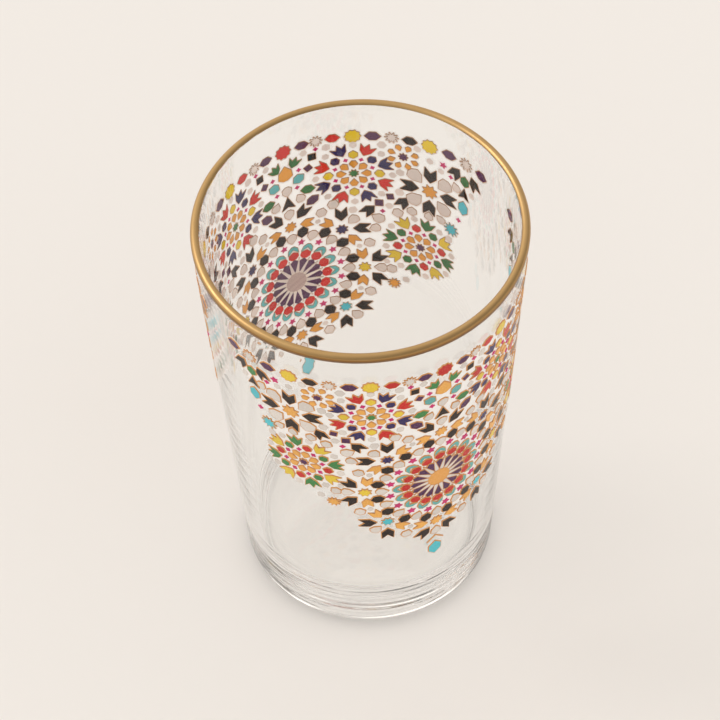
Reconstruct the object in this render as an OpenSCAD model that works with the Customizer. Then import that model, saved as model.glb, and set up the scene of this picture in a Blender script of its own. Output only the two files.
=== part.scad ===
// Straight tapered tea glass with a thick base, a gilded rim and a fired enamel print.
// Origin at the middle of the face it stands on, +Z up, the front of the glass towards -Y.

/* [Glass] */
// Height of the finished glass, gilding included
height = 95; // [80:1:120]
// Diameter over the gilded rim
rim_d = 64; // [58:0.5:72]
// Diameter that the straight outer wall would have at the table
base_d = 49; // [45:0.5:54]
// Thickness of the wall at the lip
lip_t = 1.5; // [1.2:0.1:2.4]
// Thickness of the wall just above the floor
wall_t = 2.3; // [1.6:0.1:3.2]
// Thickness of the heavy base, from the table to the inside floor
floor_t = 9; // [6:0.5:14]
// Radius of the heel, where the wall turns under
heel_r = 3.2; // [1.5:0.1:5]
// Radius between the inside floor and the wall
floor_r = 5; // [2:0.5:8]
// Width of the flat ring that the glass stands on
foot_w = 2.4; // [1.5:0.1:4]
// Height of the shallow hollow under the base
punt_h = 1; // [0.5:0.1:2]

/* [Gilding] */
// Thickness of the gold coat
gilt_t = 0.12; // [0.08:0.01:0.2]
// How far the gold runs down the outside of the lip
gilt_drop = 0.6; // [0.2:0.1:3]
// Where the gold ends on the inside of the lip, in degrees round the lip from its outer side
gilt_end = 150; // [120:1:170]

/* [Print] */
// Thickness of the fired enamel
enamel_t = 0.2; // [0.1:0.02:0.4]
// Number of times the print repeats round the glass
repeats = 2; // [1:1:2]
// Turn of the first repeat, from the front towards +X, in degrees
print_turn = 28.3; // [0:0.1:90]
// Plain glass between the rim and the middle of the top row of tiles
top_margin = 9.6; // [6:0.2:14]

/* [Rosette] */
// Radius of the medallion in the middle
medallion_r = 2.35; // [2:0.05:2.6]
// Length of a ray
ray_l = 3.8; // [3:0.1:4]
// Width of a ray
ray_w = 0.76; // [0.5:0.02:0.8]
// Length of a wedge
wedge_l = 3.3; // [2.5:0.1:3.4]
// Width of a wedge
wedge_w = 1.6; // [1:0.05:1.7]
// Length of a hexagon of the first ring
bud_l = 1.9; // [1.4:0.1:2.1]
// Width of a hexagon of the first ring
bud_w = 2.15; // [1.6:0.05:2.4]
// Length of a hood
hood_l = 1.9; // [1.4:0.1:2]
// Width of a hood
hood_w = 2.4; // [2:0.05:2.6]
// Radius of a five-pointed star
spark_r = 0.95; // [0.6:0.05:1.1]

/* [Tiles] */
// Width of the white joint between neighbouring tiles
joint_w = 0.2; // [0.12:0.02:0.3]
// Radius of an eight-pointed star
star_r = 1.3; // [0.9:0.05:1.5]
// Radius of a ten-pointed star in the top row
sun_r = 1.65; // [1.2:0.05:1.8]
// Length of a plain hexagon
hex_l = 2.95; // [2:0.05:3.1]
// Width of a plain hexagon
hex_w = 2.25; // [1.4:0.05:2.4]
// Length of a long hexagon in the top row
lozenge_l = 3.3; // [2.6:0.05:3.5]
// Width of a long hexagon in the top row
lozenge_w = 2.05; // [1.4:0.05:2.3]
// Length of a pale shield
shield_l = 2.5; // [1.8:0.05:2.7]
// Width of a pale shield
shield_w = 2.1; // [1.4:0.05:2.3]
// Length of an arrow
arrow_l = 3.5; // [2.6:0.05:3.7]
// Width of an arrow
arrow_w = 2.45; // [1.6:0.05:2.6]
// Length of a petal
petal_l = 1.85; // [1.2:0.05:2]
// Width of a petal
petal_w = 1.65; // [1.1:0.05:1.75]
// Length of a crown
crown_l = 3.15; // [2.2:0.05:3.3]
// Width of a crown
crown_w = 3.3; // [2.4:0.05:3.5]
// Length of a small hexagon round a flower
pip_l = 2.05; // [1.4:0.05:2.2]
// Width of a small hexagon round a flower
pip_w = 1.75; // [1.1:0.05:1.9]
// Side of a square tile
block_w = 1.5; // [1:0.05:1.8]
// Radius of a small dot star
dot_r = 0.6; // [0.4:0.02:0.75]

/* [Hidden] */
$fn = 96;
// Steps in a quarter turn of the profile's arcs
arc_steps = 8;

// Outer wall: its radius grows evenly with the height
body_h = height - gilt_t;
wall_slope = (rim_d / 2 - gilt_t - base_d / 2) / (body_h - lip_t / 2);
wall_tilt = atan(wall_slope);
function wall_r(z) = base_d / 2 + wall_slope * z;

// Points along an arc round (r, z) from one angle to another
function arc(r, z, radius, from, to) =
    let (steps = ceil(abs(to - from) / 90 * arc_steps))
    [for (i = [0:steps]) let (a = from + (to - from) * i / steps)
        [r + radius * cos(a), z + radius * sin(a)]];

// Lip: a half round between the outer and the inner wall
lip_r = lip_t / 2;
lip_z = body_h - lip_r;
lip_mid_r = wall_r(lip_z - lip_r * sin(wall_tilt)) - lip_r * cos(wall_tilt);

// Inside: a straight wall that thickens towards the floor
floor_edge_r = wall_r(floor_t) - wall_t;
inner_tilt = atan((lip_mid_r - lip_r - floor_edge_r) / (lip_z - floor_t));
corner_z = floor_t + floor_r;
corner_r = floor_edge_r + tan(inner_tilt) * floor_r * (1 - sin(inner_tilt))
    - floor_r * cos(inner_tilt);

// Underside: a flat foot ring round a shallow hollow
heel_mid_r = wall_r(heel_r * (1 - sin(wall_tilt))) - heel_r * cos(wall_tilt);
foot_in_r = heel_mid_r - foot_w;
punt_r = (foot_in_r * foot_in_r + punt_h * punt_h) / (2 * punt_h);
punt_turn = asin(foot_in_r / punt_r);

// Tile outlines as shares of length and width; +X points away from the middle of the motif
hex_shares = [[-0.5, 0], [-0.2, -0.5], [0.2, -0.5], [0.5, 0], [0.2, 0.5], [-0.2, 0.5]];
bud_shares = [[-0.5, -0.22], [-0.2, -0.5], [0.2, -0.48], [0.5, 0], [0.2, 0.48], [-0.2, 0.5], [-0.5, 0.22]];
shield_shares = [[-0.5, 0], [-0.1, -0.45], [0.3, -0.5], [0.5, -0.16], [0.5, 0.16], [0.3, 0.5], [-0.1, 0.45]];
petal_shares = [[-0.5, 0], [0.08, -0.5], [0.5, -0.24], [0.5, 0.24], [0.08, 0.5]];
arrow_shares = [[-0.5, 0], [-0.12, -0.5], [0.5, -0.46], [0.16, 0], [0.5, 0.46], [-0.12, 0.5]];
crown_shares = [[-0.5, 0], [-0.18, -0.34], [0.36, -0.5], [0.12, -0.19], [0.5, 0],
                [0.12, 0.19], [0.36, 0.5], [-0.18, 0.34]];
wedge_shares = [[-0.5, 0], [0.3, -0.5], [0.5, 0], [0.3, 0.5]];
ray_shares = [[-0.5, -0.42], [-0.36, -0.5], [0.5, 0], [-0.36, 0.5], [-0.5, 0.42]];
hood_shares = [[-0.5, -0.5], [0.14, -0.44], [0.5, -0.14], [0.5, 0.14], [0.14, 0.44], [-0.5, 0.5],
               [-0.24, 0.3], [0.12, 0], [-0.24, -0.3]];
block_shares = [[-0.5, -0.5], [0.5, -0.5], [0.5, 0.5], [-0.5, 0.5]];
delta_shares = [[-0.5, 0], [0.5, -0.5], [0.3, 0], [0.5, 0.5]];
function shaped(shares, l, w) = [for (s = shares) [s[0] * l, s[1] * w]];
function star(points, r, inner_share) =
    [for (i = [0:2 * points - 1]) let (a = 180 * i / points)
        r * (i % 2 == 0 ? 1 : inner_share) * [cos(a), sin(a)]];

// The tiles by name
function outline(kind) =
    kind == "hex" ? shaped(hex_shares, hex_l, hex_w) :
    kind == "lozenge" ? shaped(hex_shares, lozenge_l, lozenge_w) :
    kind == "shield" ? shaped(shield_shares, shield_l, shield_w) :
    kind == "arrow" ? shaped(arrow_shares, arrow_l, arrow_w) :
    kind == "petal" ? shaped(petal_shares, petal_l, petal_w) :
    kind == "crown" ? shaped(crown_shares, crown_l, crown_w) :
    kind == "pip" ? shaped(hex_shares, pip_l, pip_w) :
    kind == "block" ? shaped(block_shares, block_w, block_w) :
    kind == "delta" ? shaped(delta_shares, arrow_l, crown_w) :
    kind == "bud" ? shaped(bud_shares, bud_l, bud_w) :
    kind == "hood" ? shaped(hood_shares, hood_l, hood_w) :
    kind == "wedge" ? shaped(wedge_shares, wedge_l, wedge_w) :
    kind == "ray" ? shaped(ray_shares, ray_l, ray_w) :
    kind == "star" ? star(8, star_r, star_share) :
    kind == "sun" ? star(10, sun_r, sun_share) :
    kind == "burst" ? star(10, sun_r, burst_share) :
    kind == "spark" ? star(5, spark_r, spark_share) :
    kind == "dot" ? star(4, dot_r, dot_share) :
    star(8, medallion_r, 1);
star_share = 0.62;
sun_share = 0.82;
burst_share = 0.5;
spark_share = 0.5;
dot_share = 0.6;

// One tile is [ink, x, y, turn, scale, kind]. A ring is a list of tiles round a middle,
// which takes the inks by turns.
function ring(count, radius, first, inks, kind, size_share = 1) =
    [for (i = [0:count - 1]) let (a = first + 360 * i / count)
        [inks[i % len(inks)], radius * cos(a), radius * sin(a), a, size_share, kind]];
function pair(radius, turn, ink, kind, size_share) =
    [for (a = [-turn, turn]) [ink, radius * cos(a), radius * sin(a), a, size_share, kind]];
function placed(tiles, u, v, turn = 0) =
    [for (t = tiles)
        [t[0], u + t[1] * cos(turn) - t[2] * sin(turn), v + t[1] * sin(turn) + t[2] * cos(turn),
         t[3] + turn, t[4], t[5]]];
function mirrored(tiles) = [for (t = tiles) [t[0], -t[1], t[2], 180 - t[3], t[4], t[5]]];

// Rosette: each ring follows from the one inside it and from the tiles' lengths
sector = 360 / 16;
eighth = 360 / 8;
ray_ring = medallion_r + joint_w + ray_l / 2;
bud_ring = ray_ring + (ray_l + bud_l) / 2;
wedge_ring = bud_ring - bud_l / 2 - joint_w - wedge_l / 2;
hood_ring = bud_ring + bud_l / 2 + joint_w * 3;
spark_ring = hood_ring + hood_l / 2 + spark_r - joint_w;
pale_ring = spark_ring + joint_w + shield_l / 2;
dark_ring = spark_ring + spark_r + joint_w + hex_l / 2;
satellite_ring = dark_ring + (hex_l + star_r) / 2 + joint_w;
rosette_r = satellite_ring + star_r;

// Print: half of the length of a repeat along the wall, the falls from the top row to the middle
// of the rosette and from there to the drop, and the heights on the wall
half_w_share = 2.452;
rosette_drop_share = 2.149;
drop_fall_share = 1.5;
half_w = rosette_r * half_w_share;
rosette_drop = rosette_r * rosette_drop_share;
drop_fall = rosette_r * drop_fall_share;
top_z = height - top_margin;
rosette_z = top_z - rosette_drop;
print_r = wall_r((top_z + rosette_z) / 2);

// Turn round the glass of a length along the wall
function wall_turn(u) = u / print_r * 180 / PI;

// Sizes of the small pale tiles between the satellites, as shares of the plain one
bridge_share = 0.65;
between_share = 1.15;

// Tiles of the rosette, from the middle outward
function rosette() = concat(
    [["medallions", 0, 0, 0, 1, "medallion"]],
    ring(16, ray_ring, sector / 2, ["pale"], "ray"),
    ring(16, wedge_ring, 0, ["aubergine"], "wedge"),
    ring(16, bud_ring, 0, ["red"], "bud"),
    ring(16, hood_ring, 0, ["teal"], "hood"),
    ring(16, spark_ring, sector / 2, ["magenta"], "spark"),
    ring(16, pale_ring, 0, ["pale"], "shield"),
    ring(16, dark_ring, sector / 2, ["black"], "hex"),
    ring(8, satellite_ring + joint_w, sector, ["pale"], "pip", bridge_share),
    ring(8, satellite_ring + shield_l, sector, ["pale"], "pip", between_share));

// Small star with its arrows, which stands outside the rosette; +X points away from it
side_arrow_share = 0.82;
satellite_arrow_ring = star_r + arrow_l * side_arrow_share;
satellite_side_ring = star_r + arrow_l * side_arrow_share / 2 + joint_w * 5;
satellite_shield_ring = star_r + shield_l - joint_w * 2;
function satellite(ink) = concat(
    [[ink, 0, 0, sector, 1, "star"]],
    pair(satellite_side_ring, 97, "orange", "arrow", side_arrow_share),
    pair(satellite_arrow_ring, eighth, "black", "arrow", 1),
    [["pale", satellite_shield_ring, 0, 0, 1, "shield"]]);

// Eight-petalled flower with a ring of crowns
heart_share = 0.78;
skirt_share = 0.85;
petal_ring = star_r + joint_w + petal_l / 2;
dot_ring = petal_ring + petal_l / 2 + dot_r;
pip_ring = dot_ring + (pip_l + joint_w) / 2;
crown_ring = dot_ring + dot_r * 2 + crown_l / 2;
skirt_ring = crown_ring + pip_l / 2 - joint_w / 2;
function flower(heart, pips, crowns) = concat(
    [[heart, 0, 0, sector, heart_share, "star"]],
    ring(8, petal_ring, 0, ["orange"], "petal"),
    ring(8, dot_ring, sector, ["magenta"], "dot"),
    ring(8, pip_ring, 0, pips, "pip"),
    ring(8, crown_ring, sector, crowns, "crown"),
    ring(8, skirt_ring, 0, ["pale"], "pip", skirt_share));
function small_flower() = concat(
    [["aubergine", 0, 0, 0, heart_share, "star"]],
    ring(8, petal_ring, sector, ["orange"], "petal", heart_share));

// Open star: four arrows and four pale shields round an orange star
open_star_share = 1.35;
open_arrow_share = 1.12;
open_shield_share = 1.45;
open_arrow_ring = star_r * open_star_share + arrow_l * open_arrow_share / 2 + joint_w * 3;
open_shield_ring = star_r * open_star_share + shield_l * open_shield_share / 2 + joint_w * 4;
function open_star() = concat(
    [["orange", 0, 0, sector, open_star_share, "star"]],
    ring(4, open_arrow_ring, 0, ["black"], "arrow", open_arrow_share),
    ring(4, open_shield_ring, eighth, ["pale"], "shield", open_shield_share));

// Cluster that hangs from the top row, placed in shares of the length of a hexagon:
// [ink, kind, down, turn, size]
pendant_arrow_ring = sun_r + arrow_l * side_arrow_share;
pendant_shares = [["green", "hex", 1.05, 90, 0.95], ["black", "delta", 2.15, 270, 0.8],
                  ["turquoise", "lozenge", 3.5, 90, 1.12]];
function pendant() = concat(
    placed(pair(pendant_arrow_ring, 32, "black", "arrow", 1), 0, 0, 270),
    [for (s = pendant_shares) [s[0], 0, -sun_r - s[2] * hex_l, s[3], s[4], s[1]]]);

// Places in shares of half_w across and rosette_drop up, from the middle of the big rosette:
// [ink, kind, across, up, turn, size]
middle_shares = [
    ["red", "sun", 0, 1, 0, 1.05], ["orange", "shield", 0, 0.84, 270, 1.5],
    ["pale", "shield", 0, 0.7, 90, 1], ["black", "delta", 0, 0.615, 270, 0.9]];
row_shares = [
    ["aubergine", "lozenge", 0.095, 1, 0, 0.9], ["pale", "burst", 0.164, 1, 0, 0.82],
    ["red", "lozenge", 0.242, 1, 0, 0.9], ["yellow", "sun", 0.336, 1, 0, 1],
    ["aubergine", "lozenge", 0.428, 1, 0, 1], ["pale", "burst", 0.516, 1, 0, 0.85],
    ["black", "lozenge", 0.602, 1, 0, 0.95], ["yellow", "sun", 0.7, 1, 0, 1.05],
    ["aubergine", "lozenge", 0.804, 1, 0, 1], ["pale", "burst", 0.902, 1, 0, 0.95],
    ["aubergine", "lozenge", 1, 1, 0, 1]];
filler_shares = [
    ["green", "crown", 0.05, 0.895, 62, 0.85], ["teal", "hex", 0.066, 0.765, 32, 0.95],
    ["magenta", "dot", 0.07, 0.83, 0, 1.05], ["magenta", "dot", 0.055, 0.705, 0, 1.05],
    ["green", "lozenge", 0.108, 0.665, 172, 0.95], ["pale", "shield", 0.066, 0.62, 300, 0.9],
    ["aubergine", "lozenge", 0.128, 0.575, 35, 0.95], ["black", "block", 0.14, 0.895, 0, 1.05],
    ["magenta", "dot", 0.16, 0.945, 0, 1.05], ["pale", "pip", 0.1, 0.94, 0, 0.85],
    ["pale", "pip", 0.21, 0.942, 30, 1], ["pale", "pip", 0.47, 0.94, 0, 1.05],
    ["aubergine", "block", 0.118, 0.82, 30, 0.9],
    ["pale", "pip", 0.228, 0.505, 60, 1.2], ["black", "arrow", 0.402, 0.44, 225, 0.95],
    ["aubergine", "block", 0.455, 0.5, 0, 1.05], ["aubergine", "block", 0.51, 0.555, 10, 0.9],
    ["pale", "pip", 0.505, 0.485, 0, 0.9], ["pale", "pip", 0.556, 0.6, 60, 1.05],
    ["pale", "pip", 0.558, 0.75, 30, 1], ["black", "arrow", 0.572, 0.525, 240, 0.95],
    ["pale", "shield", 0.448, 0.385, 330, 1.1], ["pale", "pip", 0.548, 0.44, 20, 1.15],
    ["pale", "pip", 0.62, 0.475, 90, 1.1], ["pale", "shield", 0.71, 0.48, 270, 0.85],
    ["pale", "shield", 0.775, 0.49, 320, 0.85], ["pale", "pip", 0.83, 0.375, 40, 1],
    ["magenta", "dot", 0.82, 0.845, 0, 1.05], ["magenta", "spark", 0.775, 0.905, 0, 1],
    ["pale", "shield", 0.852, 0.79, 300, 0.9], ["pale", "pip", 0.95, 0.8, 60, 0.85],
    ["magenta", "dot", 0.88, 0.56, 0, 1.15], ["turquoise", "burst", 0.84, 0.455, 0, 1.05],
    ["orange", "burst", 0.532, -0.11, 0, 0.8], ["pale", "pip", 0.518, 0.0, 40, 1.1],
    ["pale", "pip", 0.596, -0.065, 320, 0.9], ["pale", "pip", 0.64, 0.955, 20, 0.9],
    ["pale", "pip", 0.765, 0.853, 30, 0.8], ["pale", "pip", 0.705, 0.895, 90, 0.85],
    ["pale", "shield", 0.432, 0.305, 20, 0.9], ["pale", "pip", 0.325, 0.447, 60, 1],
    ["magenta", "dot", 0.472, 0.44, 0, 1.05], ["pale", "pip", 0.493, 0.052, 60, 0.7]];
function spread(shares) =
    [for (s = shares) [s[0], s[2] * half_w, s[3] * rosette_drop, s[4], s[5], s[1]]];

// Middles of the flowers, the open star and the pendant, in the same shares: [across, up]
flower_shares = [0.336, 0.722];
low_flower_shares = [0.67, 0.214];
small_flower_shares = [0.572, 0.87];
open_star_shares = [0.71, 0.665];
pendant_place_shares = [0.902, 1];
function seated(tiles, place_shares, turn = 0) =
    placed(tiles, place_shares[0] * half_w, place_shares[1] * rosette_drop, turn);

// One side of a repeat, and the whole repeat from the middle of its rosette
function side() = concat(
    spread(row_shares),
    spread(filler_shares),
    seated(flower("green", ["yellow", "navy"], ["navy", "red"]), flower_shares),
    seated(flower("aubergine", ["red", "green"], ["yellow", "green"]), low_flower_shares, sector / 2),
    seated(small_flower(), small_flower_shares),
    seated(open_star(), open_star_shares),
    seated(pendant(), pendant_place_shares));
drop_share = 1.3;
satellite_inks = ["yellow", "navy", "orange", "navy", "yellow", "turquoise", "orange", "turquoise"];
function repeat() = concat(
    rosette(),
    [for (i = [0:7])
        each placed(placed(satellite(satellite_inks[i]), satellite_ring, 0), 0, 0, eighth * i)],
    spread(middle_shares),
    [["turquoise", 0, -drop_fall, 90, drop_share, "lozenge"]],
    side(),
    mirrored(side()));
tiles = repeat();

// Puts a flat shape on the outer wall, u along the wall and z up it, its back to the glass
module on_wall(u, z)
    rotate([0, 0, wall_turn(u)])
        translate([wall_r(z), 0, z])
            rotate([0, wall_tilt, 0])
                rotate([90, 0, 90])
                    children();

// Puts the print's shapes on the wall once for each repeat
module each_repeat()
    for (n = [0:repeats - 1])
        rotate([0, 0, print_turn - 90 + n * 360 / repeats])
            children();

module tile_layer(ink)
    each_repeat()
        for (t = tiles)
            if (t[0] == ink)
                on_wall(t[1], rosette_z + t[2])
                    rotate(t[3])
                        linear_extrude(enamel_t)
                            polygon(t[4] * outline(t[5]));

// Glass: one blown and fire-polished piece
module glass_body()
    color([0.86, 0.92, 0.92, 0.35])
        rotate_extrude($fn = 180)
            polygon(concat(
                arc(0, punt_h - punt_r, punt_r, 90, 90 - punt_turn),
                arc(heel_mid_r, heel_r, heel_r, -90, -wall_tilt),
                arc(lip_mid_r, lip_z, lip_r, -wall_tilt, 180 - inner_tilt),
                arc(corner_r, corner_z, floor_r, -inner_tilt, -90),
                [[0, floor_t]]));

// Gold: one coat over the lip and a little way down the outside
module gilded_rim()
    color([0.83, 0.66, 0.34])
        rotate_extrude($fn = 180)
            polygon(concat(
                [gilt_foot(gilt_t)],
                arc(lip_mid_r, lip_z, lip_r + gilt_t, -wall_tilt, gilt_end),
                reversed(arc(lip_mid_r, lip_z, lip_r, -wall_tilt, gilt_end)),
                [gilt_foot(0)]));
function gilt_foot(proud) = let (a = -wall_tilt)
    [lip_mid_r + (lip_r + proud) * cos(a) - gilt_drop * sin(wall_tilt),
     lip_z + (lip_r + proud) * sin(a) - gilt_drop * cos(wall_tilt)];
function reversed(list) = [for (i = [len(list) - 1:-1:0]) list[i]];

// Gold chevron over the last tile of the print, which has no enamel in it
stroke_l = 2.6;
stroke_w = 0.3;
stroke_fall = drop_fall - lozenge_l * drop_share;
module gold_linework()
    color([0.8, 0.56, 0.3])
        each_repeat()
            on_wall(0, rosette_z - stroke_fall)
                linear_extrude(enamel_t)
                    for (side = [-1, 1])
                        rotate(90 + side * eighth)
                            translate([-stroke_l, -stroke_w / 2])
                                square([stroke_l + stroke_w / 2, stroke_w]);

module enamel_medallions() color([0.72, 0.6, 0.55]) tile_layer("medallions");
module enamel_pale() color([0.84, 0.79, 0.75]) tile_layer("pale");
module enamel_black() color([0.17, 0.14, 0.13]) tile_layer("black");
module enamel_red() color([0.8, 0.2, 0.16]) tile_layer("red");
module enamel_yellow() color([0.88, 0.74, 0.2]) tile_layer("yellow");
module enamel_green() color([0.24, 0.49, 0.25]) tile_layer("green");
module enamel_teal() color([0.39, 0.68, 0.68]) tile_layer("teal");
module enamel_turquoise() color([0.31, 0.75, 0.79]) tile_layer("turquoise");
module enamel_aubergine() color([0.35, 0.22, 0.33]) tile_layer("aubergine");
module enamel_navy() color([0.23, 0.19, 0.37]) tile_layer("navy");
module enamel_orange() color([0.88, 0.59, 0.21]) tile_layer("orange");
module enamel_magenta() color([0.82, 0.21, 0.43]) tile_layer("magenta");

glass_body();
gilded_rim();
gold_linework();
enamel_medallions();
enamel_pale();
enamel_black();
enamel_red();
enamel_yellow();
enamel_green();
enamel_teal();
enamel_turquoise();
enamel_aubergine();
enamel_navy();
enamel_orange();
enamel_magenta();
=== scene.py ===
"""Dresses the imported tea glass: clear glass, a gilded rim and a fired enamel print, in metres."""

import math
from collections import namedtuple

import bmesh
import bpy
import numpy as np
from mathutils import Matrix, Vector, noise


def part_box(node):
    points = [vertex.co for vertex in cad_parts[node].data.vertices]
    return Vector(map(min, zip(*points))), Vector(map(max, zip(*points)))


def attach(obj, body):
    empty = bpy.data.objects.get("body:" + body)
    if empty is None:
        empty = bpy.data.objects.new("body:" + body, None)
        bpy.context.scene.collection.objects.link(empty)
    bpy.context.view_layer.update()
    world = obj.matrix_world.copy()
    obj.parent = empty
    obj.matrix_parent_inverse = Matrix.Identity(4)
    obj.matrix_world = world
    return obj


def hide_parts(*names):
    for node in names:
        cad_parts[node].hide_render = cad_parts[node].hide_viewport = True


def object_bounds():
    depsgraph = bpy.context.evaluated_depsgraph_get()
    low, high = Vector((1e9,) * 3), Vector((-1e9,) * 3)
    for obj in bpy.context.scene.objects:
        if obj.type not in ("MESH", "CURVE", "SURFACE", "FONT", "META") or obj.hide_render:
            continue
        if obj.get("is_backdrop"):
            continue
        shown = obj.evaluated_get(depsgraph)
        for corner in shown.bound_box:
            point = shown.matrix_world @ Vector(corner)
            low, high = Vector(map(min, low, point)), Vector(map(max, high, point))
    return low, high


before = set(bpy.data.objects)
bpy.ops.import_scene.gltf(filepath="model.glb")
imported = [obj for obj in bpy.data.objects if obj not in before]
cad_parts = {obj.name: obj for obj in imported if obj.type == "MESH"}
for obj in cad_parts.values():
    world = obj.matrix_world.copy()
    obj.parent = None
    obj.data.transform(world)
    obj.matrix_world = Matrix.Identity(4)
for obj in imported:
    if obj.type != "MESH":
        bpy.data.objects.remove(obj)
cad_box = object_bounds()

MM = 0.001
QUARTER = math.pi / 2

# Glass, as in the CAD model
BASE_R = 24.5 * MM
LIP_T = 1.5 * MM
WALL_T = 2.3 * MM
FLOOR_T = 9 * MM
HEEL_R = 3.2 * MM
FLOOR_R = 5 * MM
FOOT_W = 2.4 * MM
PUNT_H = 1 * MM
GILT_T = 0.12 * MM
GILT_DROP = 0.6 * MM
GILT_END = math.radians(150)
ENAMEL_T = 0.2 * MM
PRINT_TURN = math.radians(28.3)
REPEATS = 2

# How far the back of the gilding lies inside the lip
GILT_SINK = 0.2 * GILT_T

# Outer wall
HEIGHT = cad_box[1].z
RIM_R = (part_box("gilded_rim")[1].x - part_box("gilded_rim")[0].x) / 2
BODY_H = HEIGHT - GILT_T
WALL_SLOPE = (RIM_R - GILT_T - BASE_R) / (BODY_H - LIP_T / 2)
WALL_TILT = math.atan(WALL_SLOPE)

# Steps round the glass, and over a quarter turn of its round corners, its gilding and the hollow under it
TURN_STEPS = 360
ARC_STEPS = 14
GILT_STEPS = 20
PUNT_STEPS = 84
# Steps along the straight stretches of the profile
FOOT_STEPS = 4
WALL_STEPS = 40
FLOOR_STEPS = 12

# Rings that the mould leaves on the outer wall beside the base
RIPPLE_H = 0.12 * MM
RIPPLE_L = 1.7 * MM
RIPPLE_LOW = 3.6 * MM
RIPPLE_HIGH = 13 * MM
RIPPLE_STEPS = 12

# Unevenness of the inside wall. Each wave has a share of the height, a count round the glass,
# radians for each metre up the glass, and a start in radians
WAVE_H = 0.05 * MM
WAVES = ((1, 3, 90, 0), (0.6, 7, -140, 1))

# Print, heights over the wall. A back lies a little way inside the glass
TILE_BACK = -0.035 * MM
GOLD_BACK = -0.025 * MM
FILM_BACK = -0.015 * MM
GOLD_UNDER = 0
FILM_FRONT = 0.02 * MM
TILE_EDGE = 0.07 * MM
GOLD_EDGE = 0.1 * MM
TILE_SHOULDER = 0.15 * MM
TILE_TOP = ENAMEL_T
GOLD_TOP = 0.2 * MM
# Each enamel's back lies this much deeper than the one before, so that no two share a face
BACK_STEP = 0.0005 * MM

# Print, sizes along the wall
WELD = 0.001 * MM
CORNER = 0.04 * MM
CORNER_SHARE = 0.2
BEVEL = 0.05 * MM
SHOULDER = 0.15 * MM
GOLD_OUT = 0.16 * MM
GOLD_LINE = 0.11 * MM
GOLD_IN = 0.06 * MM
GOLD_SHIFT = 0.14 * MM
CREST_OUT_SHARE = 0.4
CREST_IN_SHARE = 0.3
FILM_OUT = 0.36 * MM
FILM_STEP = 0.35 * MM
ROSETTE_R = 9.4 * MM
ROSETTE_GROW = 0.1 * MM

# The grid of the white ground is true to size at this share of the height
FILM_HEIGHT_SHARE = 0.6

# Outlines: how much longer a mitre may be than its offset, and how far a slim shape may shrink
MITRE_LIMIT = 2.2
SLIM_SHARE = 0.4
INSET_TRIES = 4
# A face of a tile is its front where its normal agrees with the wall's by this much
FRONT_DOT = 0.9

# Finish of a face in the print
FRONT = 0
BACK = 1
# Tint of a tile, from 0 to 1, and how many cells of tint there are in a radian round the glass
MID_TINT = 0.5
TINT_CELLS = 9

# Camera, from the fit to the photograph: focal length and frame in pixels, sensor and lens in mm
FOCAL_PIXELS = 4721.67
FRAME_PIXELS = 720
SENSOR = 36
LENS = SENSOR * FOCAL_PIXELS / FRAME_PIXELS
CAM_DISTANCE = 960 * MM
CAM_ELEVATION = math.radians(51.606)
CAM_ROLL = math.radians(1.896)
CAM_RIGHT = -1.983 * MM
CAM_UP = 33.657 * MM
CLIP_START = 10 * MM

Tile = namedtuple("Tile", "ink turn points area")


# Shapes


def sides(points):
    """Each point of a closed ring together with the next one."""
    return list(zip(points, points[1:] + points[:1]))


def wall_r(z):
    """The outer radius of the wall at a height."""
    return BASE_R + WALL_SLOPE * z


def on_wall(turn, w, h):
    """The point at a turn round the glass, a length w up the wall and a height h over it."""
    z = w * math.cos(WALL_TILT)
    r = wall_r(z) + h * math.cos(WALL_TILT)
    return Vector((r * math.cos(turn), r * math.sin(turn), z - h * math.sin(WALL_TILT)))


def turn_at(tile, x, w):
    """The turn round the glass at a length x beside a tile's middle and a length w up the wall."""
    return tile.turn + x / wall_r(w * math.cos(WALL_TILT))


def arc(r, z, radius, start, end, steps=ARC_STEPS):
    """Points on an arc, with a number of steps for each quarter turn."""
    count = max(2, math.ceil(abs(end - start) / QUARTER * steps))
    angles = [start + (end - start) * i / count for i in range(count + 1)]
    return [(r + radius * math.cos(a), z + radius * math.sin(a)) for a in angles]


def line(start, end, steps):
    """The points between two ends, without the ends."""
    return [tuple(a + (b - a) * i / steps for a, b in zip(start, end)) for i in range(1, steps)]


LIP_R = LIP_T / 2
LIP_Z = BODY_H - LIP_R
LIP_MID_R = wall_r(LIP_Z - LIP_R * math.sin(WALL_TILT)) - LIP_R * math.cos(WALL_TILT)
FLOOR_EDGE_R = wall_r(FLOOR_T) - WALL_T
INNER_TILT = math.atan((LIP_MID_R - LIP_R - FLOOR_EDGE_R) / (LIP_Z - FLOOR_T))
FILM_R = wall_r(HEIGHT * FILM_HEIGHT_SHARE)


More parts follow.
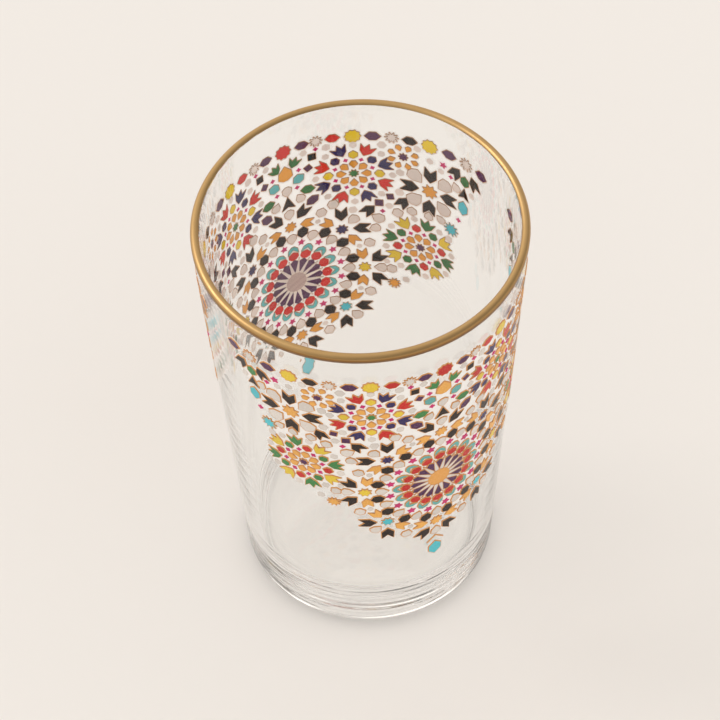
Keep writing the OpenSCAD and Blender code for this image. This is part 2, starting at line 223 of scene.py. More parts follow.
def glass_profile():
    """Outline of the glass from the middle of its underside to the middle of its inside floor."""
    heel_mid_r = wall_r(HEEL_R * (1 - math.sin(WALL_TILT))) - HEEL_R * math.cos(WALL_TILT)
    foot_in_r = heel_mid_r - FOOT_W
    punt_r = (foot_in_r ** 2 + PUNT_H ** 2) / (2 * PUNT_H)
    punt_turn = math.asin(foot_in_r / punt_r)
    corner_r = (FLOOR_EDGE_R + math.tan(INNER_TILT) * FLOOR_R * (1 - math.sin(INNER_TILT))
                - FLOOR_R * math.cos(INNER_TILT))
    punt = arc(0, PUNT_H - punt_r, punt_r, QUARTER, QUARTER - punt_turn, PUNT_STEPS)
    heel = arc(heel_mid_r, HEEL_R, HEEL_R, -QUARTER, -WALL_TILT) + rippled()
    lip = arc(LIP_MID_R, LIP_Z, LIP_R, -WALL_TILT, math.pi - INNER_TILT)
    corner = arc(corner_r, FLOOR_T + FLOOR_R, FLOOR_R, -INNER_TILT, -QUARTER)
    middle = (0, FLOOR_T)
    return (punt + line(punt[-1], heel[0], FOOT_STEPS)
            + heel + line(heel[-1], lip[0], WALL_STEPS)
            + lip + line(lip[-1], corner[0], WALL_STEPS)
            + corner + line(corner[-1], middle, FLOOR_STEPS) + [middle])


def rippled():
    """The outer wall beside the solid base, with the faint rings that the mould leaves there."""
    span = RIPPLE_HIGH - RIPPLE_LOW
    steps = round(span / RIPPLE_L * RIPPLE_STEPS)
    points = []
    for i in range(steps + 1):
        share = i / steps
        ring = (1 - math.cos(2 * math.pi * share * span / RIPPLE_L)) / 2
        z = RIPPLE_LOW + span * share
        points.append((wall_r(z) - RIPPLE_H * math.sin(math.pi * share) * ring, z))
    return points


def waved(point):
    """A slow unevenness of the inside wall. The outer wall, lip and floor stay true."""
    r = math.hypot(point.x, point.y)
    inside = FLOOR_T + FLOOR_R < point.z < LIP_Z - LIP_T and r < wall_r(point.z) - LIP_T / 2
    if not inside:
        return point
    span = LIP_Z - LIP_T - FLOOR_T - FLOOR_R
    fade = math.sin(math.pi * (point.z - FLOOR_T - FLOOR_R) / span)
    turn = math.atan2(point.y, point.x)
    wave = 0
    for share, count, rise, start in WAVES:
        wave += share * math.sin(count * turn + rise * point.z + start)
    return point * (1 + WAVE_H / 2 * fade * wave / r)


def link(name, mesh):
    made = bpy.data.objects.new(name, mesh)
    bpy.context.scene.collection.objects.link(made)
    return made


def lathe(name, profile, closed=False, shift=None):
    """Turns a profile of (r, z) round the Z axis. shift(point) returns a moved point."""
    mesh = bpy.data.meshes.new(name)
    bm = bmesh.new()
    rings = []
    for r, z in profile:
        if r < WELD:
            rings.append([bm.verts.new((0, 0, z))] * TURN_STEPS)
            continue
        ring = []
        for i in range(TURN_STEPS):
            a = 2 * math.pi * i / TURN_STEPS
            ring.append(bm.verts.new((r * math.cos(a), r * math.sin(a), z)))
        rings.append(ring)
    pairs = sides(rings) if closed else sides(rings)[:-1]
    for low, high in pairs:
        for (a, b), (d, c) in zip(sides(low), sides(high)):
            corners = [a, b, c, d]
            unique = [v for n, v in enumerate(corners) if v not in corners[:n]]
            bm.faces.new(unique).smooth = True
    if shift:
        for vert in bm.verts:
            vert.co = shift(vert.co)
    bmesh.ops.recalc_face_normals(bm, faces=bm.faces)
    bm.to_mesh(mesh)
    bm.free()
    return link(name, mesh)


# Outlines


def area_of(points):
    return sum(a.x * b.y - a.y * b.x for a, b in sides(points)) / 2


def softened(points):
    """The outline with each corner cut by a short edge."""
    made = []
    for i, point in enumerate(points):
        for other in (points[i - 1], points[(i + 1) % len(points)]):
            side = other - point
            made.append(point + side * min(CORNER / side.length, CORNER_SHARE))
    return made


def offset(points, distance):
    """The outline moved outward by a distance, or inward by a negative one."""
    made = []
    for i, point in enumerate(points):
        before = (point - points[i - 1]).normalized()
        after = (points[(i + 1) % len(points)] - point).normalized()
        total = Vector((before.y, -before.x)) + Vector((after.y, -after.x))
        reach = 1 / max(total.length / 2, 1 / MITRE_LIMIT)
        made.append(point + total.normalized() * distance * reach)
    return made


def inset(points, distance):
    """The outline moved inward by a distance, or by less where the shape is too slim for it."""
    ring = sum((a - b).length for a, b in sides(points))
    slim = 2 * area_of(points) / ring
    distance = min(distance, slim * SLIM_SHARE)
    for _ in range(INSET_TRIES):
        made = offset(points, -distance)
        if all((b - a).dot(d - c) > 0 for (a, b), (c, d) in zip(sides(points), sides(made))):
            return made
        distance /= 2
    return points


# Reading the print from the CAD nodes


def islands(bm):
    """Each group of faces that hang together, which is one tile."""
    left = set(bm.faces)
    for seed in bm.faces:
        if seed not in left:
            continue
        left.remove(seed)
        grow = [seed]
        island = []
        while grow:
            face = grow.pop()
            island.append(face)
            for edge in face.edges:
                for other in edge.link_faces:
                    if other in left:
                        left.remove(other)
                        grow.append(other)
        yield island


def outline_of(island):
    """The turn at which a tile touches the wall, and its outline as (x, w) along the wall."""
    middle = sum((f.calc_center_median() for f in island), Vector()) / len(island)
    turn = math.atan2(middle.y, middle.x)
    level = math.cos(WALL_TILT)
    out = Vector((math.cos(turn) * level, math.sin(turn) * level, -math.sin(WALL_TILT)))
    front = [f for f in island if f.normal.dot(out) > FRONT_DOT]
    out = sum((f.normal * f.calc_area() for f in front), Vector()).normalized()
    turn = math.atan2(out.y, out.x)
    along = Vector((-math.sin(turn), math.cos(turn), 0))
    after = {}
    for face in front:
        for loop in face.loops:
            if not any(f in front for f in loop.edge.link_faces if f is not face):
                after[loop.vert] = loop.link_loop_next.vert
    start = min(after, key=lambda v: (round(v.co.z, 6), round(v.co.x, 6), round(v.co.y, 6)))
    chain = [start]
    while after[chain[-1]] is not start and len(chain) < len(after):
        chain.append(after[chain[-1]])
    points = []
    for vert in chain:
        co = vert.co - out * ENAMEL_T
        points.append(Vector((co.dot(along), co.z / level)))
    return turn, points


def read_tiles(node, ink):
    """The tiles of a CAD node, in an order that is the same in each run."""
    bm = bmesh.new()
    bm.from_mesh(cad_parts[node].data)
    bmesh.ops.remove_doubles(bm, verts=bm.verts, dist=WELD)
    tiles = []
    for island in islands(bm):
        turn, points = outline_of(island)
        tiles.append(Tile(ink, turn, softened(points), area_of(points)))
    bm.free()
    return sorted(tiles, key=lambda t: (round(t.turn, 4), round(t.points[0].y, 6)))


def middle_of(tile):
    """The middle of a tile, on the wall."""
    middle = sum(tile.points, Vector((0, 0))) / len(tile.points)
    return on_wall(tile.turn, middle.y, 0)


def tint_of(tile):
    """A tint that differs from tile to tile, and is the same in each run."""
    return noise.cell(Vector((tile.turn * TINT_CELLS, tile.points[0].y / MM, len(tile.points))))


# Building the print


class Shapes:
    """Collects corners and faces for one mesh."""

    def __init__(self):
        self.corners = []
        self.faces = []
        self.finishes = []
        self.tints = []

    def ring(self, tile, points, height, lift=0):
        """Adds an outline at a height over the wall, moved up along the wall by lift."""
        first = len(self.corners)
        for point in points:
            w = point.y + lift
            self.corners.append(on_wall(turn_at(tile, point.x, w), w, height))
        return list(range(first, len(self.corners)))

    def face(self, corners, finish, tint=MID_TINT):
        self.faces.append(corners)
        self.finishes.append(finish)
        self.tints.append(tint)

    def band(self, low, high, finish, tint=MID_TINT):
        for (a, b), (d, c) in zip(sides(low), sides(high)):
            self.face([a, b, c, d], finish, tint)

    def build(self, name, materials, smooth=False):
        mesh = bpy.data.meshes.new(name)
        mesh.from_pydata(self.corners, [], self.faces)
        mesh.polygons.foreach_set("material_index", self.finishes)
        mesh.polygons.foreach_set("use_smooth", [smooth] * len(self.faces))
        tint = mesh.attributes.new("tint", "FLOAT", "FACE")
        tint.data.foreach_set("value", self.tints)
        for material in materials:
            mesh.materials.append(material)
        mesh.update()
        return link(name, mesh)


def add_tile(shapes, tile, tint=MID_TINT, grow=0, step=0):
    """A fired tile: its back lies against the glass, and its front swells to a rounded shoulder."""
    points = offset(tile.points, grow) if grow else tile.points
    back = shapes.ring(tile, points, TILE_BACK - step * BACK_STEP)
    edge = shapes.ring(tile, points, TILE_EDGE)
    shoulder = shapes.ring(tile, inset(points, BEVEL), TILE_SHOULDER)
    top = shapes.ring(tile, inset(points, SHOULDER), TILE_TOP)
    shapes.face(back[::-1], BACK, tint)
    for low, high in ((back, edge), (edge, shoulder), (shoulder, top)):
        shapes.band(low, high, FRONT, tint)
    shapes.face(top, FRONT, tint)


def add_outline(shapes, tile):
    """The gold line round a tile: a low ridge over its edge, whose first coat lies a little high."""
    wide = offset(tile.points, GOLD_OUT)
    narrow = inset(tile.points, GOLD_IN)
    rings = (
        shapes.ring(tile, offset(tile.points, GOLD_LINE), GOLD_BACK, GOLD_SHIFT),
        shapes.ring(tile, wide, GOLD_UNDER),
        shapes.ring(tile, wide, GOLD_EDGE),
        shapes.ring(tile, offset(tile.points, GOLD_OUT * CREST_OUT_SHARE), GOLD_TOP),
        shapes.ring(tile, inset(tile.points, GOLD_IN * CREST_IN_SHARE), GOLD_TOP),
        shapes.ring(tile, narrow, GOLD_EDGE),
        shapes.ring(tile, narrow, GOLD_BACK),
    )
    for low, high in zip(rings, rings[1:]):
        shapes.band(low, high, FRONT)
    shapes.band(rings[-1], rings[0], BACK)


def gaps_to(outline, spots, most):
    """Distances from spots to an outline, cut off at the most, and below zero inside it."""
    nearest = np.full(spots.shape[:2], most)
    inside = np.zeros(spots.shape[:2], bool)
    for start, end in zip(outline, np.roll(outline, -1, 0)):
        side = end - start
        share = ((spots - start) @ side / (side @ side)).clip(0, 1)
        gap = spots - start - share[..., None] * side
        nearest = np.minimum(nearest, np.hypot(gap[..., 0], gap[..., 1]))
        crosses = (start[1] > spots[..., 1]) != (end[1] > spots[..., 1])
        if side[1]:
            reach = start[0] + (spots[..., 1] - start[1]) * side[0] / side[1]
            inside ^= crosses & (spots[..., 0] < reach)
    nearest[inside] *= -1
    return nearest


def film_field(tiles, middle):
    """A grid along the wall that is below zero where the white ground lies, and its lowest corner."""
    outlines = []
    for tile in tiles:
        outline = []
        for x, w in tile.points:
            delta = (turn_at(tile, x, w) - middle + math.pi) % (2 * math.pi) - math.pi
            outline.append((delta * FILM_R, w))
        outlines.append(np.array(outline))
    corners = np.concatenate(outlines)
    margin = FILM_OUT + 2 * FILM_STEP
    low = corners.min(0) - margin
    count = np.ceil((corners.max(0) + margin - low) / FILM_STEP).astype(int) + 1
    field = np.full(count, margin)
    for outline in outlines:
        first = np.floor((outline.min(0) - margin - low) / FILM_STEP).astype(int).clip(0)
        last = np.ceil((outline.max(0) + margin - low) / FILM_STEP).astype(int) + 1
        place = (slice(first[0], last[0]), slice(first[1], last[1]))
        spots = np.stack(np.mgrid[place], -1) * FILM_STEP + low
        spots = spots[:count[0] - first[0], :count[1] - first[1]]
        field[place] = np.minimum(field[place], gaps_to(outline, spots, margin))
    return filled(field - FILM_OUT), low


def filled(field):
    """The field with its closed holes covered too, so that the ground is whole between the tiles."""
    bare = field >= 0
    outside = np.zeros_like(bare)
    outside[0] = outside[-1] = outside[:, 0] = outside[:, -1] = True
    reached = 0
    while outside.sum() > reached:
        reached = outside.sum()
        outside[1:] |= outside[:-1] & bare[1:]
        outside[:-1] |= outside[1:] & bare[:-1]
        outside[:, 1:] |= outside[:, :-1] & bare[:, 1:]
        outside[:, :-1] |= outside[:, 1:] & bare[:, :-1]
    return np.where(bare & ~outside, -FILM_OUT, field)


def film_cells(field, low):
    """Faces that fill the field where it is below zero, and the places of their corners on the wall."""
    places = {}
    spots = []

    def corner(i, k):
        key = (i, k)
        if key not in places:
            places[key] = len(spots)
            spots.append(low + np.array(key) * FILM_STEP)
        return places[key]

    def crossing(start, end):
        key = (min(start, end), max(start, end))
        if key not in places:
            first, last = field[key[0]], field[key[1]]
            share = first / (first - last)
            places[key] = len(spots)
            spots.append(low + (np.array(key[0]) * (1 - share) + np.array(key[1]) * share) * FILM_STEP)
        return places[key]

    cells = []
    for i in range(field.shape[0] - 1):
        for k in range(field.shape[1] - 1):
            loop = ((i, k), (i + 1, k), (i + 1, k + 1), (i, k + 1))
            if min(field[c] for c in loop) >= 0:
                continue
            cell = []
            for start, end in sides(loop):
                if field[start] < 0:
                    cell.append(corner(*start))
                if (field[start] < 0) != (field[end] < 0):
                    cell.append(crossing(start, end))
            if len(cell) > 2:
                cells.append(cell)
    return cells, spots


def add_film(shapes, tiles, middle):
    """The white ground of one repeat, a thin closed skin that ends a little outside its tiles."""
    cells, spots = film_cells(*film_field(tiles, middle))
    first = len(shapes.corners)
    count = len(spots)
    for height in (FILM_BACK, FILM_FRONT):
        shapes.corners += [on_wall(middle + spot[0] / FILM_R, spot[1], height) for spot in spots]
    directed = {}
    for cell in cells:
        shapes.face([first + count + c for c in cell], FRONT)
        shapes.face([first + c for c in reversed(cell)], BACK)
        directed.update((side, True) for side in sides(cell))
    for a, b in directed:
        if (b, a) not in directed:
            shapes.face([first + a, first + b, first + count + b, first + count + a], FRONT)


# Materials


def rgb(red, green, blue):
    """A colour from 0 to 255 a channel, as linear light."""
    def linear(value):
        value /= 255
        return value / 12.92 if value <= 0.04045 else ((value + 0.055) / 1.055) ** 2.4
    return linear(red), linear(green), linear(blue), 1


def scaled(color, share):
    return tuple(min(1, c * share) for c in color[:3]) + (1,)


# Colours of each enamel: seen on the outside, and seen through the glass
ENAMELS = {
    "medallions": (rgb(232, 165, 85), rgb(198, 170, 162)),
    "pale": (rgb(224, 214, 204), rgb(237, 221, 210)),
    "black": (rgb(40, 27, 20), rgb(34, 18, 11)),
    "red": (rgb(200, 44, 36), rgb(218, 50, 42)),
    "yellow": (rgb(230, 198, 64), rgb(236, 202, 52)),
    "green": (rgb(66, 132, 72), rgb(56, 120, 62)),
    "teal": (rgb(106, 176, 170), rgb(108, 190, 190)),
    "turquoise": (rgb(84, 196, 206), rgb(84, 200, 214)),
    "aubergine": (rgb(84, 44, 82), rgb(94, 56, 88)),
    "navy": (rgb(54, 42, 92), rgb(58, 48, 94)),
    "orange": (rgb(240, 176, 88), rgb(236, 162, 66)),
    "magenta": (rgb(206, 52, 112), rgb(208, 54, 112)),
}
# Enamels that touch each other in the middle of the rosettes
ROSETTE_INKS = ("medallions", "pale", "aubergine", "red")
# The small pale fillers: they are below this area, and have six corners, each cut into two
PLAIN_AREA = 2.9 * MM * MM
PLAIN_POINTS = 12

# Colours of the gold: each pair is the darker and the lighter one. The rim's two pairs are lit and shaded
# copies of one gold: painted light on its upward faces, painted shade on its sides and underside
GILT_TOP_LIT = (rgb(192, 154, 100), rgb(206, 169, 116))
GILT_SIDE_SHADED = (rgb(136, 96, 50), rgb(152, 110, 60))
GOLD_PRINT = (rgb(206, 142, 80), rgb(226, 164, 98))
GOLD_PRINT_BACK = (rgb(160, 118, 84), rgb(196, 152, 112))
GOLD_METALLIC = 0.3
WHITE_FRONT = rgb(252, 249, 244)
WHITE_BACK = rgb(253, 250, 246)
GLASS_COLOR = (0.985, 0.99, 0.985, 1)
GLASS_IOR = 1.5

# Heights of the fine relief of each surface
GLASS_BUMP = 0.02 * MM
GOLD_BUMP = 0.01 * MM
ENAMEL_BUMP = 0.02 * MM

# Roughness of the enamel on each side and how much it varies, and how far its colour varies
ENAMEL_ROUGH = 0.2
ENAMEL_BACK_ROUGH = 0.3
ROUGH_SPREAD = 0.12
TINT_SPREAD = 0.1
# How much of that comes from the fine mottle. The rest comes from the tile's own tint
MOTTLE_SHARE = 0.6
# How much of the light on the white ground comes through it, on each side
WHITE_GLOW = 0.2
WHITE_BACK_GLOW = 0.8

# How much soft light the sides of the glass let pass below the first height, and above the second
BASE_SHADE = 0.5
NEARLY_ALL = 0.99
SHADE_LOW = 1.5 * MM
SHADE_HIGH = 4 * MM


class Tree:
    """The nodes of a material or world, with a short call for each kind of node that repeats."""

    def __init__(self, owner):
        owner.use_nodes = True
        self.nodes = owner.node_tree.nodes
        self.links = owner.node_tree.links
        self.nodes.clear()

    def put(self, socket, value):
        """Links another node's output to a socket, or sets a plain value on it."""
        if isinstance(value, bpy.types.NodeSocket):
            self.links.new(value, socket)
        else:
            socket.default_value = value

    def add(self, kind, **values):
        """A new node. A name in values is a socket's name, with low lines for its spaces."""
        node = self.nodes.new(kind)
        for name, value in values.items():
            self.put(node.inputs[name.replace("_", " ")], value)
        return node

    def place(self, kind):
        return self.add("ShaderNodeTexCoord").outputs[kind]

    def up(self, vector):
        """The Z part of a vector."""
        return self.add("ShaderNodeSeparateXYZ", Vector=vector).outputs["Z"]

    def math(self, operation, *values):
        node = self.nodes.new("ShaderNodeMath")
        node.operation = operation
        for socket, value in zip(node.inputs, values):
            self.put(socket, value)
        return node.outputs[0]

    def dot(self, vector, side):
        node = self.nodes.new("ShaderNodeVectorMath")
        node.operation = "DOT_PRODUCT"
        self.put(node.inputs[0], vector)
        self.put(node.inputs[1], side)
        return node.outputs["Value"]

    def noise(self, scale, detail, roughness=0.5, vector=None):
        """Noise from 0 to 1. The scale is in waves for each metre, unless another vector is given."""
        vector = vector or self.place("Object")
        texture = self.add("ShaderNodeTexNoise", Vector=vector, Scale=scale, Detail=detail,
                           Roughness=roughness)
        return texture.outputs["Fac"]

    def ranged(self, value, low, high, start=0.3, end=0.7):
        """A value that goes from low to high while another goes from start to end."""
        node = self.add("ShaderNodeMapRange", Value=value, From_Min=start, From_Max=end,
                        To_Min=low, To_Max=high)
        return node.outputs["Result"]

    def blended(self, share, first, second):
        """A colour between two."""
        mix = self.nodes.new("ShaderNodeMix")
        mix.data_type = "RGBA"
        self.put(mix.inputs["Factor"], share)
        self.put(mix.inputs["A"], first)
        self.put(mix.inputs["B"], second)
        return mix.outputs["Result"]

    def mixed(self, share, first, second):
        """A shader between two."""
        mix = self.add("ShaderNodeMixShader", Fac=share)
        self.put(mix.inputs[1], first)
        self.put(mix.inputs[2], second)
        return mix.outputs["Shader"]

    def bumped(self, shader, value, distance, strength=0.5):
        bump = self.add("ShaderNodeBump", Height=value, Distance=distance, Strength=strength)
        self.put(shader.inputs["Normal"], bump.outputs["Normal"])

    def background(self, color, strength):
        look = self.add("ShaderNodeBackground", Color=color, Strength=strength)
        return look.outputs["Background"]

    def finish(self, shader, output="ShaderNodeOutputMaterial"):
        self.add(output, Surface=shader)


def new_material(name):
    material = bpy.data.materials.new(name)
    return material, Tree(material)


def glass_material():
    """Clear glass. Soft light and shadows pass it straight, and the sides of the base keep some back."""
    material, tree = new_material("clear_glass")
    smudge = tree.ranged(tree.noise(scale=60, detail=4), low=0, high=0.01, start=0.5, end=0.8)
    shader = tree.add("ShaderNodeBsdfPrincipled", Base_Color=GLASS_COLOR, Transmission_Weight=1,
                      IOR=GLASS_IOR, Roughness=smudge)
    height = tree.up(tree.place("Object"))
    above = tree.ranged(height, low=0, high=1, start=FLOOR_T + FLOOR_R, end=FLOOR_T + 3 * FLOOR_R)
    uneven = tree.math("MULTIPLY", tree.noise(scale=90, detail=1), above)
    tree.bumped(shader, uneven, GLASS_BUMP, strength=0.35)
    on_side = tree.ranged(height, low=BASE_SHADE, high=NEARLY_ALL, start=SHADE_LOW, end=SHADE_HIGH)
    flat = tree.math("ABSOLUTE", tree.up(tree.place("Normal")))
    on_flat = tree.ranged(flat, low=0, high=NEARLY_ALL, start=0.7, end=0.95)
    clear = tree.add("ShaderNodeBsdfTransparent", Color=tree.math("MAXIMUM", on_side, on_flat))
    ray = tree.add("ShaderNodeLightPath")
    soft = tree.math("MAXIMUM", ray.outputs["Is Shadow Ray"], ray.outputs["Is Diffuse Ray"])
    tree.finish(tree.mixed(soft, shader.outputs["BSDF"], clear.outputs["BSDF"]))
    return material


def gilding_material():
    """Gold with painted shade: lighter on faces turned up, darker and browner on faces turned sideways or
    down.
    """
    material, tree = new_material("gilding")
    patch = tree.noise(scale=220, detail=4, roughness=0.6)
    # Painted shade: the gold darkens as its face turns from up to sideways and down
    facing = tree.ranged(tree.up(tree.place("Normal")), low=0, high=1, start=0, end=0.6)
    color = tree.blended(facing, tree.blended(patch, *GILT_SIDE_SHADED), tree.blended(patch, *GILT_TOP_LIT))
    fine = tree.noise(scale=1500, detail=3, roughness=0.6)
    shader = tree.add("ShaderNodeBsdfPrincipled", Base_Color=color, Metallic=1,
                      Roughness=tree.ranged(fine, low=0.3, high=0.42))
    tree.bumped(shader, fine, GOLD_BUMP)
    tree.finish(shader.outputs["BSDF"])
    return material


def gold_print_material(name, colors, metallic):
    """Printed gold, a little patchy and grainy."""
    material, tree = new_material(name)
    patch = tree.noise(scale=700, detail=3, roughness=0.6)
    shader = tree.add("ShaderNodeBsdfPrincipled", Base_Color=tree.blended(patch, *colors), Metallic=metallic,
                      Roughness=tree.ranged(patch, low=0.35, high=0.5))
    tree.bumped(shader, tree.noise(scale=5000, detail=2), GOLD_BUMP)
    tree.finish(shader.outputs["BSDF"])
    return material


def enamel_material(name, color, rough):
    """Fired enamel: each tile a little lighter or darker, with a fine mottle and an orange-peel surface."""
    material, tree = new_material(name)
    tint = tree.add("ShaderNodeAttribute")
    tint.attribute_name = "tint"
    mottle = tree.noise(scale=2600, detail=3, roughness=0.6)
    own = tree.math("MULTIPLY", tint.outputs["Fac"], 1 - MOTTLE_SHARE)
    share = tree.math("MULTIPLY_ADD", mottle, MOTTLE_SHARE, own)
    shade = tree.blended(share, scaled(color, 1 - TINT_SPREAD), scaled(color, 1 + TINT_SPREAD))
    shader = tree.add("ShaderNodeBsdfPrincipled", Base_Color=shade, Specular_IOR_Level=0.2,
                      Roughness=tree.ranged(mottle, low=rough, high=rough + ROUGH_SPREAD))
    tree.bumped(shader, tree.noise(scale=1800, detail=2), ENAMEL_BUMP)
    tree.finish(shader.outputs["BSDF"])
    return material


def white_ground_material(name, color, glowing):
    """A thin white enamel, through which light glows. Its faces let light pass on their inner side."""
    material, tree = new_material(name)
    mottle = tree.noise(scale=1400, detail=3, roughness=0.6)
    shade = tree.blended(mottle, scaled(color, 0.97), scaled(color, 1.02))
    shader = tree.add("ShaderNodeBsdfPrincipled", Base_Color=shade,
                      Roughness=tree.ranged(mottle, low=0.35, high=0.5))
    glow = tree.add("ShaderNodeBsdfTranslucent", Color=shade)
    clear = tree.add("ShaderNodeBsdfTransparent")
    inner = tree.add("ShaderNodeNewGeometry").outputs["Backfacing"]
    thin = tree.mixed(glowing, shader.outputs["BSDF"], glow.outputs["BSDF"])
    tree.finish(tree.mixed(inner, thin, clear.outputs["BSDF"]))
    return material


# The object


def dress_glass():
    body = lathe("glass", glass_profile(), shift=waved)
    body.data.materials.append(glass_material())
    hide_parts("glass_body")
    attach(body, "root")


def dress_rim():
    out = arc(LIP_MID_R, LIP_Z, LIP_R + GILT_T, -WALL_TILT, GILT_END, GILT_STEPS)
    under = arc(LIP_MID_R, LIP_Z, LIP_R - GILT_SINK, GILT_END, -WALL_TILT, GILT_STEPS)
    foot = [(r - GILT_DROP * math.sin(WALL_TILT), z - GILT_DROP * math.cos(WALL_TILT))
            for r, z in (under[-1], out[0])]
    rim = lathe("gold_rim", foot + out + under, closed=True)
    rim.data.materials.append(gilding_material())
    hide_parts("gilded_rim")
    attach(rim, "root")


def dress_enamels():
    """One piece of tiles for each enamel. Returns the tiles of all of them."""
    tiles_of = {ink: read_tiles("enamel_" + ink, ink) for ink in ENAMELS}
    middles = [middle_of(tile) for tile in tiles_of["medallions"]]
    for step, (ink, (front, back)) in enumerate(ENAMELS.items()):
        node = "enamel_" + ink
        shapes = Shapes()
        for tile in tiles_of[ink]:
            near = min((middle_of(tile) - middle).length for middle in middles)
            grow = ROSETTE_GROW if near < ROSETTE_R and ink in ROSETTE_INKS else 0
            add_tile(shapes, tile, tint_of(tile), grow, step)
        finishes = [enamel_material(node, front, ENAMEL_ROUGH),
                    enamel_material(node + "_back", back, ENAMEL_BACK_ROUGH)]
        piece = shapes.build(ink + "_tiles", finishes)
        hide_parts(node)
        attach(piece, "root")
    return [tile for tiles in tiles_of.values() for tile in tiles]


def has_outline(tile):
    """Stars and dots in magenta and the small pale fillers are printed without a gold line."""
    if tile.ink == "magenta":
        return False
    return not (tile.ink == "pale" and tile.area < PLAIN_AREA and len(tile.points) == PLAIN_POINTS)


def dress_gold(tiles):
    """The gold lines round the tiles, and the gold strokes that stand alone."""
    gold = [gold_print_material("gold_print", GOLD_PRINT, GOLD_METALLIC),
            gold_print_material("gold_print_back", GOLD_PRINT_BACK, 0)]
    outlines = Shapes()
    for tile in tiles:
        if has_outline(tile):
            add_outline(outlines, tile)
    lines = outlines.build("gold_outlines", gold, smooth=True)
    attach(lines, "root")
    strokes = Shapes()
    for tile in read_tiles("gold_linework", "gold"):
        add_tile(strokes, tile)
    piece = strokes.build("gold_strokes", gold)
    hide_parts("gold_linework")
    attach(piece, "root")


def dress_ground(tiles):
    """The white ground, one skin for each repeat of the print."""
    film = Shapes()
    for n in range(REPEATS):
        middle = PRINT_TURN - QUARTER + 2 * math.pi * n / REPEATS
        add_film(film, [tile for tile in tiles if math.cos(tile.turn - middle) > 0], middle)
    white = [white_ground_material("white_ground", WHITE_FRONT, WHITE_GLOW),
             white_ground_material("white_ground_back", WHITE_BACK, WHITE_BACK_GLOW)]
    ground = film.build("white_ground", white, smooth=True)
    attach(ground, "root")


# The stage

FLOOR_SIZE = 12
FLOOR_GAP = 0.02 * MM
FLOOR_COLOR = rgb(240, 233, 225)
FLOOR_LIGHT = 1.04
ROOM_COLOR = (1, 1, 1, 1)
ROOM_LIGHT = 1.02
MIRRORED_COLOR = (1, 0.97, 0.94, 1)
# Sides of the room: the window, the bright side in mirrors, and the bright side through glass
WINDOW_SIDE = (-0.7, 0.24, 0.67)
BRIGHT_SIDE = (-0.75, 0.55, 0.37)
CLEAR_SIDE = (0.65, 0.6, 0.4)
# How close the room's lighter and darker bands lie: across, along and up
BAND_SHARES = (1.2, 1.2, 6)
# Light of the window and of its bright pane, and how wide each is in degrees
WINDOW_LIGHT = 0.25
WINDOW_WIDTH = 20
PANE_LIGHT = 0.5
PANE_WIDTH = 40
# Light runs far inside the glass wall before it leaves it
LIGHT_BOUNCES = 128
CLEAR_BOUNCES = 64


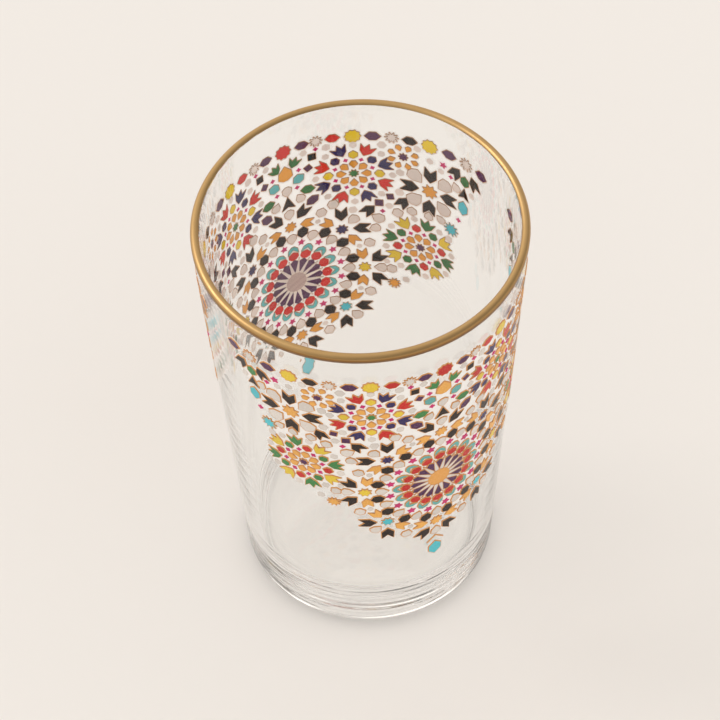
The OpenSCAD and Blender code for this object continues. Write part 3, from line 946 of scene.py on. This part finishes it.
def make_floor():
    bpy.ops.mesh.primitive_plane_add(size=FLOOR_SIZE)
    floor = bpy.context.active_object
    floor.name = "floor"
    floor.location.z = -FLOOR_GAP
    material, tree = new_material("floor")
    shader = tree.add("ShaderNodeBsdfPrincipled", Base_Color=scaled(FLOOR_COLOR, 1 / FLOOR_LIGHT),
                      Roughness=1, Specular_IOR_Level=0)
    tree.finish(shader.outputs["BSDF"])
    floor.data.materials.append(material)
    floor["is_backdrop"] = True


def make_world():
    """An even, pale room. Mirrors show a brighter and a darker side of it, and so does glass, in bands."""
    world = bpy.data.worlds.new("studio")
    bpy.context.scene.world = world
    tree = Tree(world)
    world.cycles.sampling_method = "NONE"
    way = tree.place("Generated")
    bright = tree.ranged(tree.dot(way, BRIGHT_SIDE), low=0.4, high=1.05, start=-0.3, end=0.95)
    lifted = tree.ranged(tree.up(way), low=0.3, high=1, start=0, end=0.3)
    across = tree.ranged(tree.dot(way, CLEAR_SIDE), low=0.06, high=1.3, start=-0.05, end=0.4)
    wide = tree.add("ShaderNodeMapping", Vector=way, Scale=BAND_SHARES)
    bands = tree.noise(scale=1, detail=1, vector=wide.outputs["Vector"])
    banded = tree.ranged(bands, low=0.08, high=1.3, start=0.43, end=0.56)
    through = tree.math("MULTIPLY", tree.math("MULTIPLY", lifted, across), banded)
    ray = tree.add("ShaderNodeLightPath")
    room = tree.background(ROOM_COLOR, ROOM_LIGHT)
    looks = (
        ("Is Glossy Ray", tree.background(MIRRORED_COLOR, bright)),
        ("Is Transmission Ray", tree.background(FLOOR_COLOR, through)),
        ("Is Diffuse Ray", room),
        ("Is Camera Ray", tree.background(FLOOR_COLOR, 1)),
    )
    shown = room
    for kind, look in looks:
        shown = tree.mixed(ray.outputs[kind], shown, look)
    tree.finish(shown, "ShaderNodeOutputWorld")


def add_window(name, light, width, mirrored_only=False):
    """A window behind the glass, on its left, far enough off to light the floor evenly."""
    data = bpy.data.lights.new(name, "SUN")
    data.energy = light
    data.angle = math.radians(width)
    lamp = link(name, data)
    lamp.rotation_euler = Vector(WINDOW_SIDE).to_track_quat("Z", "Y").to_euler()
    lamp.visible_diffuse = not mirrored_only
    lamp.visible_transmission = False


def make_camera():
    data = bpy.data.cameras.new("camera")
    data.lens = LENS
    data.sensor_width = SENSOR
    data.clip_start = CLIP_START
    forward = Vector((0, math.cos(CAM_ELEVATION), -math.sin(CAM_ELEVATION)))
    turn = Matrix.Rotation(CAM_ROLL, 3, forward)
    right = turn @ Vector((1, 0, 0))
    up = turn @ Vector((0, math.sin(CAM_ELEVATION), math.cos(CAM_ELEVATION)))
    camera = link("camera", data)
    axes = Matrix((right, up, -forward)).transposed()
    place = right * CAM_RIGHT + up * CAM_UP - forward * CAM_DISTANCE
    camera.matrix_world = Matrix.Translation(place) @ axes.to_4x4()
    bpy.context.scene.camera = camera


make_camera()
dress_glass()
dress_rim()
all_tiles = dress_enamels()
dress_gold(all_tiles)
dress_ground(all_tiles)
make_floor()
make_world()
add_window("window", WINDOW_LIGHT, WINDOW_WIDTH)
add_window("bright_pane", PANE_LIGHT, PANE_WIDTH, mirrored_only=True)
bpy.context.scene.view_settings.view_transform = "Standard"
bpy.context.scene.cycles.max_bounces = LIGHT_BOUNCES
bpy.context.scene.cycles.transmission_bounces = LIGHT_BOUNCES
bpy.context.scene.cycles.glossy_bounces = LIGHT_BOUNCES
bpy.context.scene.cycles.transparent_max_bounces = CLEAR_BOUNCES

[[list(corner) for corner in box] for box in (cad_box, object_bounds())]
